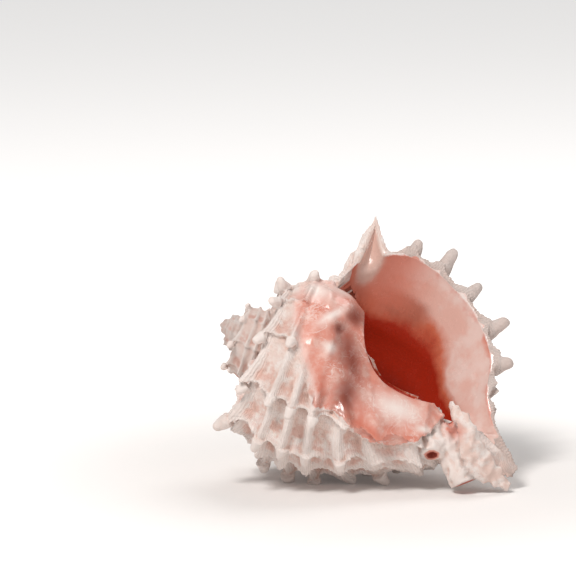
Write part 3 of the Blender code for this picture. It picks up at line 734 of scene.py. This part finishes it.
# %% Bring the mesh under its limit
TRIANGLE_LIMIT = 196000
triangles = sum(len(face.vertices) - 2 for face in shell.data.polygons)
if triangles > TRIANGLE_LIMIT:
    thin = shell.modifiers.new("thin", "DECIMATE")
    thin.ratio = TRIANGLE_LIMIT / triangles
    thin.use_collapse_triangulate = True
    applied(shell)
print(triangles, "triangles, now", sum(len(face.vertices) - 2 for face in shell.data.polygons))

# %% [markdown]
# ## Reading the notes back
# The fused skin has forgotten what its points were. Each vertex looks up the nearest noted points
# and takes their growth angle, place and kind. That is how the finish can follow the growth of the
# shell although the mesh no longer does.

# %% Look up every vertex
NEIGHBOURS, SAME_TURN, STRAY_ROUNDS, SOFTEN_ROUNDS = 4, 60.0, 6, 2
points = np.concatenate(NOTES["point"])
told = {name: np.concatenate(NOTES[name]) for name in NOTES if name != "point"}
turn_of_lie = np.array(LIE.to_3x3())
world = points @ turn_of_lie.T + np.array(APEX_PLACE)
tree = kdtree.KDTree(len(world))
for index, place in enumerate(world):
    tree.insert(place, index)
tree.balance()


def vertex_numbers(mesh, name):
    """Places or normals of all vertices, as rows of three."""
    numbers = np.empty(len(mesh.vertices) * 3)
    mesh.vertices.foreach_get(name, numbers)
    return numbers.reshape(-1, 3)


co = vertex_numbers(shell.data, "co")
found = [tree.find_n(place, NEIGHBOURS) for place in co]
nearest = np.array([[hit[1] for hit in hits] for hits in found])
weight = 1.0 / (np.array([[hit[2] for hit in hits] for hits in found]) + 1e-5)**2
weight /= weight.sum(axis=1, keepdims=True)
# the average takes in only the notes that belong to the same turn of the shell as the nearest one
same = np.abs(told["growth"][nearest] - told["growth"][nearest[:, :1]]) < SAME_TURN
share = weight * same
share /= share.sum(axis=1, keepdims=True)
value = {name: (told[name][nearest] * (share if name in ("growth", "place") else weight)).sum(axis=1)
         for name in told}


def averaged(numbers, mesh, rounds):
    """Average every vertex with its neighbours, again and again."""
    edges = np.empty(len(mesh.edges) * 2, int)
    mesh.edges.foreach_get("vertices", edges)
    a, b = edges.reshape(-1, 2).T
    counts = np.bincount(a, minlength=len(numbers)) + np.bincount(b, minlength=len(numbers))
    for _ in range(rounds):
        sums = np.zeros_like(numbers)
        for column in range(numbers.shape[1]):
            sums[:, column] = np.bincount(a, numbers[b, column], len(numbers))
            sums[:, column] += np.bincount(b, numbers[a, column], len(numbers))
        numbers = 0.5 * numbers + 0.5 * sums / counts[:, None]
    return numbers


# a stray note from the far side of a thin wall is outvoted by the vertex's neighbours along the skin
inside_mouth = averaged(told["mouth"][nearest[:, 0]][:, None], shell.data, STRAY_ROUNDS)[:, 0] > 0.5
for name in ("growth", "place", "crest", "hollow", "callus"):
    for side in (inside_mouth, ~inside_mouth):
        agrees = side * ((told["mouth"][nearest[:, 0]] > 0.5) == inside_mouth)
        sums = averaged(np.stack([value[name] * agrees, agrees], axis=-1), shell.data, SOFTEN_ROUNDS)
        near_some = side & (sums[:, 1] > 0.05)
        value[name][near_some] = sums[near_some, 0] / sums[near_some, 1]
value["mouth"] = averaged(inside_mouth[:, None] * 1.0, shell.data, 1)[:, 0]
own = (co - np.array(APEX_PLACE)) @ np.linalg.inv(turn_of_lie).T
print(len(co), "vertices,", int((value["mouth"] > 0.5).sum()), "of them in the mouth")

# %% Distances for the finish
FLAP_FROM = 77.0                    # along the shell, where the callus ends at the flap
WELL_INSIDE, OLDER_TURN = 1.5, -170.0
flat = seen_from_mouth(own)
callus = value["callus"]
in_front = (own[:, 1] > FRONT_FROM) * ~inside_mouth * (value["flap"] < 0.5) * (flat[:, 0] < FLAP_FROM)
drawn = distance_inside(flat, CALLUS_BORDER) + ragged(flat)
callus = np.where(in_front * (drawn > WELL_INSIDE), np.maximum(callus, drawn), callus)
# the glaze also covers the older turn wherever it lies behind the mouth
behind_mouth = (distance_inside(flat, MOUTH_EDGE) > -1.0) * (value["growth"] < OLDER_TURN) * ~inside_mouth
callus = np.where(behind_mouth, FAR, callus)
print("callus and mouth:", int((callus > 0.0).sum()), "vertices")

# %% [markdown]
# ## Valleys of the surface
# Pink and the dirt of the pores stay in the valleys, while crests are rubbed white; the finish
# also darkens the valleys and recesses as painted shade. Whether a vertex lies in a valley is seen
# from its neighbours: in a valley their average lies above it. Averaging again and again widens
# the look: first to a valley between two threads, then to a recess between two ribs.
# again widens the look: first to a valley between two threads, then to a recess between two ribs.

# %% How much of a valley each vertex lies in
VALLEY_ROUNDS = (2, 14, 70)
near, far, farthest = (averaged(co, shell.data, rounds) for rounds in VALLEY_ROUNDS)
facing = averaged(vertex_numbers(shell.data, "normal"), shell.data, 2)
valley = ((far - near) * facing).sum(axis=1) / MM
recess = ((farthest - near) * facing).sum(axis=1) / MM
print("valleys from", round(float(valley.min()), 2), "to", round(float(valley.max()), 2), "mm")

# %% Soft spots of tint, of painted shade and of painted highlight on the callus
# along, across, spread along, spread across, turn in degrees; the dusky spots are painted shade where the
# callus turns into the mouth, the milky spot on the low bulge is partly a painted highlight, and the slit's
# spots are painted shade round the crack beside the flap
SPOTS = {
    # milky glaze; the spot on the low bulge is partly a painted highlight
    "milk_and_highlight": [(24.5, 24.4, 6.0, 3.0, 8.0), (33.3, 18.9, 6.0, 1.5, 55.0), (66.5, 0.8, 8.5, 3.6, 2.0),
             (37.3, 9.0, 2.2, 1.8, 0.0), (78.0, -1.5, 3.0, 1.2, 10.0)],
    "blush": [(28.9, 19.4, 7.0, 1.7, 10.0), (37.1, 27.3, 4.5, 6.5, 0.0), (39.9, -4.3, 3.0, 5.0, 0.0),
              (65.8, 6.3, 10.0, 1.4, 8.0), (67.9, -5.6, 2.2, 2.2, 0.0), (60.0, -9.5, 9.0, 1.4, -8.0),
              (77.0, -5.0, 5.0, 1.2, 20.0)],
    # painted shade where the callus turns into the mouth
    "callus_shade": [(37.7, 16.2, 3.0, 2.6, 0.0), (45.1, 9.6, 12.5, 4.2, -50.0), (49.4, -2.1, 8.0, 3.8, -84.0),
             (39.6, -9.8, 3.0, 1.2, -84.0), (41.0, 22.0, 4.0, 4.0, 0.0)],
    # painted shade of the crack between callus and flap, in salmon
    "slit_shade": [(87.5, 2.8, 3.2, 2.6, 0.0), (84.0, 4.2, 2.4, 1.6, 0.0)],
}
TINTED_FROM = -2.0                  # tints reach this far past the callus's border, mm


def spot(name):
    total = np.zeros(len(flat))
    for where in SPOTS[name]:
        total = np.maximum(total, spread(flat, *where))
    return total * ((callus > TINTED_FROM) if name != "slit_shade" else (own[:, 1] > 0.0))


def keep_as(mesh, name, numbers):
    """Store one number on each vertex, for the material to read."""
    mesh.attributes.new(name, "FLOAT", "POINT").data.foreach_set("value", np.asarray(numbers, np.float32))


TURN_SCALE = 0.01                   # growth angles are kept as hundreds of degrees back from the lip
keep_as(shell.data, "turned_back", -value["growth"] * TURN_SCALE)
keep_as(shell.data, "place", value["place"])
keep_as(shell.data, "crest", np.clip(value["crest"], 0.0, 1.0))
keep_as(shell.data, "callus", callus / FAR)
keep_as(shell.data, "valley", valley)
keep_as(shell.data, "recess", recess)
# the callus fades into the chalk at its upper left, and ends in a crisp edge below
FADES_ABOVE, FADES_BEFORE = (-10.0, -6.0), (47.0, 41.0)
soft = step((flat[:, 1] - FADES_ABOVE[0]) / (FADES_ABOVE[1] - FADES_ABOVE[0]))
soft = soft * step((FADES_BEFORE[0] - flat[:, 0]) / (FADES_BEFORE[0] - FADES_BEFORE[1]))
keep_as(shell.data, "soft", soft)
for name in ("mouth", "gutter", "flap", "pit", "hollow"):
    keep_as(shell.data, name, value[name])
for name in SPOTS:
    keep_as(shell.data, name, spot(name))

# %% [markdown]
# ## A worn surface
# Outside, the shell is chalky and worn: small dents and blisters one to four millimetres across.
# They are pushed into the mesh with noise, and fade out where the glaze begins. The glaze is
# smooth, and swells only softly.

# %% Wear in the mesh
WEAR = ((260.0, 0.00030), (700.0, 0.00016))      # noise scale per metre, height in metres
SWELL = (210.0, 0.00035)                         # the same for the soft swells of the glaze
WEAR_ENDS, SWELL_FROM, GROOVE_SMOOTH = 1.5, 3.0, 0.7     # mm outside and inside the callus's border, share
normals = vertex_numbers(shell.data, "normal")
rough_here = np.clip(-callus / WEAR_ENDS + 0.2, 0.0, 1.0) * (1.0 - GROOVE_SMOOTH * value["gutter"])
rough_here = rough_here * (1.0 - value["pit"])
push = np.zeros(len(co))
for scale, height in WEAR:
    push += height * np.array([noise.noise(Vector(place) * scale) for place in co])
swell = SWELL[1] * np.array([noise.noise(Vector(place) * SWELL[0]) for place in co])
swell = swell * step(callus / SWELL_FROM) * (value["mouth"] < 0.5)
above_ground = np.clip(co[:, 2] / (2.0 * MM), 0.0, 1.0)
co = co + normals * ((push * rough_here + swell) * above_ground)[:, None]
shell.data.vertices.foreach_set("co", co.ravel())
for polygon in shell.data.polygons:
    polygon.use_smooth = True
shell.data.update()

# %% [markdown]
# ## The finish
# One node material covers the whole shell, because on the real one the chalk and the glaze run
# into each other. Numbers kept on the vertices say where it is glazed, how deep inside the mouth a
# place lies and where it is a crest. Noise breaks up every border between them.

# %% Small helpers for node trees
class Finish:
    """A node material in the making: each helper adds a node and wires up what it is given."""

    def __init__(self, name):
        self.material = bpy.data.materials.new(name)
        self.material.use_nodes = True
        self.nodes = self.material.node_tree.nodes
        self.shader = self.nodes["Principled BSDF"]
        self.where = self.node("ShaderNodeTexCoord").outputs["Object"]

    def give(self, node, inputs):
        """Link or set a node's inputs, by name or by number."""
        for socket, source in inputs.items():
            if isinstance(source, bpy.types.NodeSocket):
                self.material.node_tree.links.new(source, node.inputs[socket])
            else:
                node.inputs[socket].default_value = source

    def node(self, kind, settings=None, inputs=None):
        made = self.nodes.new(kind)
        for name, setting in (settings or {}).items():
            setattr(made, name, setting)
        self.give(made, inputs or {})
        return made

    def maths(self, operation, *sources):
        return self.node("ShaderNodeMath", {"operation": operation}, dict(enumerate(sources))).outputs[0]

    def times(self, a, b):
        return self.maths("MULTIPLY", a, b)

    def times_plus(self, a, b, c):
        return self.maths("MULTIPLY_ADD", a, b, c)

    def blend(self, share, a, b):
        """Mix two colours."""
        return self.node("ShaderNodeMix", {"data_type": "RGBA"}, {0: share, 6: a, 7: b}).outputs[2]

    def between(self, share, a, b):
        """Mix two numbers."""
        return self.node("ShaderNodeMix", {"data_type": "FLOAT"}, {0: share, 2: a, 3: b}).outputs[0]

    def band(self, source, low, high, to_low=0.0, to_high=1.0):
        """Smooth change from one value to another while the source goes from low to high."""
        inputs = {0: source, 1: low, 2: high, 3: to_low, 4: to_high}
        return self.node("ShaderNodeMapRange", {"interpolation_type": "SMOOTHSTEP"}, inputs).outputs[0]

    def within(self, source, start, full, ends, gone):
        """1 in the middle of a range of the source, 0 outside it."""
        return self.times(self.band(source, start, full), self.band(source, gone, ends))

    def told(self, name):
        return self.node("ShaderNodeAttribute", {"attribute_name": name}).outputs["Fac"]

    def noise(self, scale, detail, roughness, distortion=0.0):
        inputs = {"Vector": self.where, "Scale": scale, "Detail": detail, "Roughness": roughness,
                  "Distortion": distortion}
        return self.node("ShaderNodeTexNoise", None, inputs).outputs["Fac"]


# %% Colours
CHALK = (0.81, 0.73, 0.69, 1.0)
CHALK_PINK = (0.72, 0.52, 0.45, 1.0)
# painted shade: grey-brown for the outer face of the lip, which is turned away from the key lamp
LIP_SHADE = (0.38, 0.30, 0.27, 1.0)
# grey of the chalk at random, also used as painted shade in the recesses between ribs
CHALK_GREY = (0.60, 0.46, 0.40, 1.0)
HOLLOW_PINK = (0.62, 0.28, 0.21, 1.0)
# dark brown of the dirt in the pores, also used as painted shade in the valleys
DIRT_AND_SHADE = (0.26, 0.13, 0.09, 1.0)
# milky white of the glaze, also a painted highlight on the low bulge of the callus
MILK = (0.84, 0.73, 0.68, 1.0)
PINK = (0.68, 0.27, 0.205, 1.0)
PALE_PINK = (0.74, 0.45, 0.38, 1.0)
SALMON = (0.58, 0.155, 0.095, 1.0)
ORANGE = (0.56, 0.14, 0.075, 1.0)
# painted shade, dark brownish, over the red near the top of the mouth
MOUTH_SHADE = (0.36, 0.12, 0.08, 1.0)
# painted shade, dark pink-brown, where the callus turns into the mouth
CALLUS_SHADE = (0.20, 0.040, 0.024, 1.0)
# the mouth's own red deep inside, darkened as painted shade
DEEP_RED = (0.36, 0.022, 0.008, 1.0)
GROOVE_PINK = (0.68, 0.50, 0.43, 1.0)
PIT_RED = (0.30, 0.04, 0.02, 1.0)
# where the red lies deeper in the mouth: places on the outline, and by how much
RED_RETREATS = (0.50, 0.68, 0.19)
# from the lip inwards the lining turns red and dark: the red is the mouth's own, the darkening partly painted
# shade
LINING = ((0.000, SALMON), (0.014, PINK), (0.035, PALE_PINK), (0.12, PALE_PINK), (0.19, ORANGE),
          (0.26, DEEP_RED), (1.0, DEEP_RED))
# the painted shade over the red: where on the outline, and how far back, it starts, is full, ends and is gone
MOUTH_SHADE_PLACES, MOUTH_SHADE_DEPTHS = (0.24, 0.30, 0.40, 0.47), (0.10, 0.15, 0.19, 0.25)
BUMP_HEIGHT = 0.25 * MM


print(len(LINING), "stops from the lip to the depth of the mouth")

# %% Chalk: white on the crests, pink between them, grey at random, painted shade in valleys and recesses, dirt in the pores
def add_textures(m):
    m.large = m.noise(90.0, 4.0, 0.55)
    m.patch = m.noise(260.0, 4.0, 0.6)
    m.grain = m.noise(1100.0, 4.0, 0.65)
    m.fine = m.noise(3200.0, 3.0, 0.7)
    m.turned_back = m.told("turned_back")
    m.place = m.told("place")
    # fine spiral threads and growth lines, bent a little by noise
    m.threads = m.maths("SINE", m.times_plus(m.patch, 3.0, m.times(m.place, 860.0)))
    m.lines = m.maths("SINE", m.times_plus(m.patch, 4.0, m.times(m.turned_back, 260.0)))


def chalk_colour(m):
    valley = m.told("valley")
    lowness = m.maths("MAXIMUM", m.band(m.told("crest"), 0.05, 0.5, 0.7, 0.0), m.band(valley, 0.01, 0.16))
    pinkness = m.times(m.band(m.patch, 0.30, 0.62), m.times_plus(lowness, 0.8, 0.15))
    chalk = m.blend(pinkness, CHALK, CHALK_PINK)
    chalk = m.blend(m.times(m.band(m.large, 0.45, 0.75), 0.3), chalk, CHALK_GREY)
    hollow = m.times(m.band(m.told("hollow"), 0.25, 0.8), m.band(m.patch, 0.36, 0.58))
    chalk = m.blend(m.times(hollow, 0.5), chalk, HOLLOW_PINK)
    # painted shade: the outer face of the lip, behind its edge and off the flap, is darkened to grey-brown
    at_lip = m.times(m.band(m.turned_back, 0.34, 0.12), m.band(m.place, 0.2, 0.3))
    at_lip = m.times(at_lip, m.maths("SUBTRACT", 1.0, m.told("flap")))
    chalk = m.blend(m.times(at_lip, 0.5), chalk, LIP_SHADE)
    # painted shade: the grooves between the fine threads take a little pink so that they show
    chalk = m.blend(m.times(m.band(m.threads, 0.2, -0.8), 0.16), chalk, CHALK_PINK)
    # painted shade: the recesses between the ribs are greyed
    chalk = m.blend(m.band(m.told("recess"), 0.25, 1.4, 0.0, 0.6), chalk, CHALK_GREY)
    pores = m.times(m.band(m.grain, 0.60, 0.72), m.times_plus(lowness, 0.40, 0.06))
    chalk = m.blend(pores, chalk, DIRT_AND_SHADE)
    # painted shade: the deeper valleys are darkened towards dark brown
    return m.blend(m.band(valley, 0.14, 0.50, 0.0, 0.75), chalk, DIRT_AND_SHADE)


# %% Glaze: pink, with soft spots of tint, of painted shade and of painted highlight, and milky veins
def glaze_colour(m):
    vein_noise = m.noise(210.0, 4.0, 0.6, 0.8)
    vein = m.band(m.maths("ABSOLUTE", m.maths("SUBTRACT", vein_noise, 0.5)), 0.0, 0.035, 1.0, 0.0)
    vein = m.times(vein, m.band(m.large, 0.45, 0.62))
    vein = m.times(vein, m.band(m.told("callus_shade"), 0.7, 0.1, 0.25, 1.0))
    glaze = m.blend(m.band(m.patch, 0.35, 0.70), PINK, PALE_PINK)
    # blush is the glaze's own salmon; the dusky spots are painted shade and the milky spots are milky glaze, on
    # the low bulge partly a painted highlight
    for name, share, tint in (("blush", 0.75, SALMON), ("callus_shade", 0.95, CALLUS_SHADE), ("milk_and_highlight", 0.95, MILK)):
        glaze = m.blend(m.times(m.told(name), share), glaze, tint)
    return m.blend(m.times(vein, 0.5), glaze, MILK)


# %% Mouth: a white rim, a salmon band, a pale mottled band, a patch of painted shade, then red that deepens and darkens, partly as painted shade
def lining_colour(m):
    retreat = m.band(m.place, RED_RETREATS[0], RED_RETREATS[1], 0.0, RED_RETREATS[2])
    retreat = m.times(retreat, m.band(m.turned_back, 0.04, 0.20))
    depth = m.maths("ADD", m.maths("SUBTRACT", m.turned_back, retreat), m.times_plus(m.large, 0.16, -0.08))
    depth = m.maths("MAXIMUM", depth, m.maths("MINIMUM", m.turned_back, 0.05))
    ramp = m.node("ShaderNodeValToRGB", None, {0: depth})
    elements = ramp.color_ramp.elements
    while len(elements) < len(LINING):
        elements.new(0.5)
    for element, (position, colour) in zip(elements, LINING):
        element.position, element.color = position, colour
    mottled = m.times(m.band(m.large, 0.42, 0.62), m.band(depth, 0.16, 0.10))
    lining = m.blend(m.times(mottled, 0.5), ramp.outputs["Color"], MILK)
    # painted shade over the red near the top of the mouth
    mouth_shade = m.times(m.within(m.place, *MOUTH_SHADE_PLACES), m.within(m.turned_back, *MOUTH_SHADE_DEPTHS))
    lining = m.blend(m.times(mouth_shade, 0.85), lining, MOUTH_SHADE)
    redder = m.times(m.band(m.place, 0.46, 0.28), m.band(depth, 0.24, 0.17))
    lining = m.blend(m.times(redder, 0.85), lining, SALMON)
    rim = m.band(m.times_plus(m.grain, 0.008, m.turned_back), 0.016, 0.010)
    return m.blend(rim, lining, CHALK)


# %% The whole finish, with its borders, gloss and fine relief
def shell_finish():
    m = Finish("shell_finish")
    add_textures(m)
    # the callus's border is crisp below and fades out at the upper left
    broken = m.maths("ADD", m.told("callus"), m.times_plus(m.patch, 0.16, -0.08))
    crisp = m.band(broken, -0.02, 0.05)
    fading = m.band(m.times_plus(m.large, 0.5, m.maths("SUBTRACT", broken, 0.25)), -0.02, 0.50)
    glazed = m.between(m.told("soft"), crisp, fading)
    in_mouth = m.band(m.told("mouth"), 0.35, 0.65)
    colour = m.blend(glazed, chalk_colour(m), glaze_colour(m))
    edge = m.times(m.within(broken, -0.01, 0.02, 0.06, 0.11), m.band(m.told("soft"), 0.8, 0.2))
    colour = m.blend(m.times(edge, 0.85), colour, CHALK)
    colour = m.blend(in_mouth, colour, lining_colour(m))
    colour = m.blend(m.times(m.told("gutter"), 0.8), colour, GROOVE_PINK)
    flap_pink = m.times(m.told("flap"), m.band(m.patch, 0.40, 0.62))
    colour = m.blend(m.times(flap_pink, 0.6), colour, CHALK_PINK)
    # painted shade: salmon round the crack between callus and flap
    colour = m.blend(m.times(m.told("slit_shade"), 0.8), colour, SALMON)
    pit = m.told("pit")
    colour = m.blend(m.band(pit, 0.0, 0.45), colour, m.blend(m.band(pit, 0.6, 0.9), PINK, PIT_RED))

    shine = m.maths("MAXIMUM", glazed, in_mouth)
    rough = m.between(shine, m.band(m.grain, 0.3, 0.7, 0.62, 0.85), m.band(m.patch, 0.3, 0.7, 0.16, 0.30))

    height = m.times_plus(m.threads, 0.50, m.times(m.lines, 0.25))
    height = m.maths("ADD", height, m.times_plus(m.grain, 1.6, m.times(m.fine, 0.5)))
    height = m.times_plus(m.patch, 2.0, height)
    strength = m.band(shine, 0.0, 0.8, 0.60, 0.04)
    bump = m.node("ShaderNodeBump", None, {"Height": height, "Strength": strength, "Distance": BUMP_HEIGHT})
    m.give(m.shader, {"Base Color": colour, "Roughness": rough, "Normal": bump.outputs[0]})
    print(len(m.nodes), "nodes in the finish")
    return m.material


shell.data.materials.clear()
shell.data.materials.append(shell_finish())
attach(shell, "root")
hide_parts(NODE)

# %% [markdown]
# ## Floor, light and camera
# The floor is a pale sheet that glows of itself: dimly near the shell, which paints a shadow round
# it, and brightly further away. A large soft lamp stands to the upper left in front, so that the
# glaze shows a soft highlight on its bulges, and the white surroundings fill the shadows. The
# camera is far away with a long lens, ten degrees above level.

# %% Floor
# the glow is weak close to the shell and strong further out: a painted shadow round the shell on a white floor
GLOW_FROM, GLOW = (0.05, 0.22), (0.04, 0.5)      # the paper's own glow: metres from the shell, strengths
FLOOR_HALF = 4.0

bm = bmesh.new()
bmesh.ops.create_grid(bm, x_segments=1, y_segments=1, size=FLOOR_HALF)
floor = placed("floor", mesh_of(bm, "floor"))
paper = Finish("pale_paper")
from_shell = paper.node("ShaderNodeVectorMath", {"operation": "LENGTH"}, {0: paper.where}).outputs["Value"]
paper.give(paper.shader, {
    "Base Color": (0.88, 0.85, 0.83, 1.0), "Roughness": 0.9, "Specular IOR Level": 0.1,
    "Emission Color": (1.0, 1.0, 1.0, 1.0), "Emission Strength": paper.band(from_shell, *GLOW_FROM, *GLOW)})
floor.data.materials.append(paper.material)
print("the floor glows from", GLOW_FROM[0] * 1000, "mm away")

# %% Camera
PIXEL = 0.34 * MM                   # size of one pixel of the frame at the shell
FRAME = 576
APEX_IN_FRAME = (218.6, 321.2)
CAMERA_DISTANCE, SENSOR = 1.3, 36.0
tilt = math.radians(VIEW_TILT)
camera_up = Vector((0.0, math.sin(tilt), math.cos(tilt)))
look = Vector((0.0, math.cos(tilt), -math.sin(tilt)))
middle = APEX_PLACE + Vector(((FRAME / 2 - APEX_IN_FRAME[0]) * PIXEL, 0.0, 0.0))
middle = middle - camera_up * (FRAME / 2 - APEX_IN_FRAME[1]) * PIXEL
camera_data = bpy.data.cameras.new("camera")
camera_data.sensor_width = SENSOR
camera_data.lens = SENSOR * CAMERA_DISTANCE / (FRAME * PIXEL)
camera_data.clip_end = 20.0
camera = placed("camera", camera_data)
camera.location = middle - look * CAMERA_DISTANCE
camera.rotation_euler = look.to_track_quat("-Z", "Y").to_euler()
bpy.context.scene.camera = camera
print("lens:", round(camera_data.lens, 1), "mm from", CAMERA_DISTANCE, "m away")

# %% Lights
# Name, place in metres, size in metres, watts, colour
LAMPS = [("key", (-0.42, -0.72, 1.02), 0.36, 12.0, (1.0, 0.98, 0.96)),
         ("fill", (0.9, -0.9, 0.30), 0.8, 1.2, (1.0, 0.97, 0.95)),
         ("top", (0.25, 0.35, 0.95), 0.6, 3.0, (1.0, 0.99, 0.98))]
LIT_PLACE, WORLD_STRENGTH = Vector((0.0, 0.0, 0.04)), 0.24
for name, place, size, power, colour in LAMPS:
    lamp_data = bpy.data.lights.new(name, "AREA")
    lamp_data.shape = "DISK"
    lamp_data.size = size
    lamp_data.energy = power
    lamp_data.color = colour
    lamp = placed(name, lamp_data)
    lamp.location = place
    lamp.rotation_euler = (LIT_PLACE - Vector(place)).to_track_quat("-Z", "Y").to_euler()
world_light = bpy.data.worlds.new("studio")
world_light.use_nodes = True
background = world_light.node_tree.nodes["Background"]
background.inputs["Color"].default_value = (1.0, 1.0, 1.0, 1.0)
background.inputs["Strength"].default_value = WORLD_STRENGTH
bpy.context.scene.world = world_light
bpy.context.scene.view_settings.view_transform = "Standard"
print(len(LAMPS), "lamps")
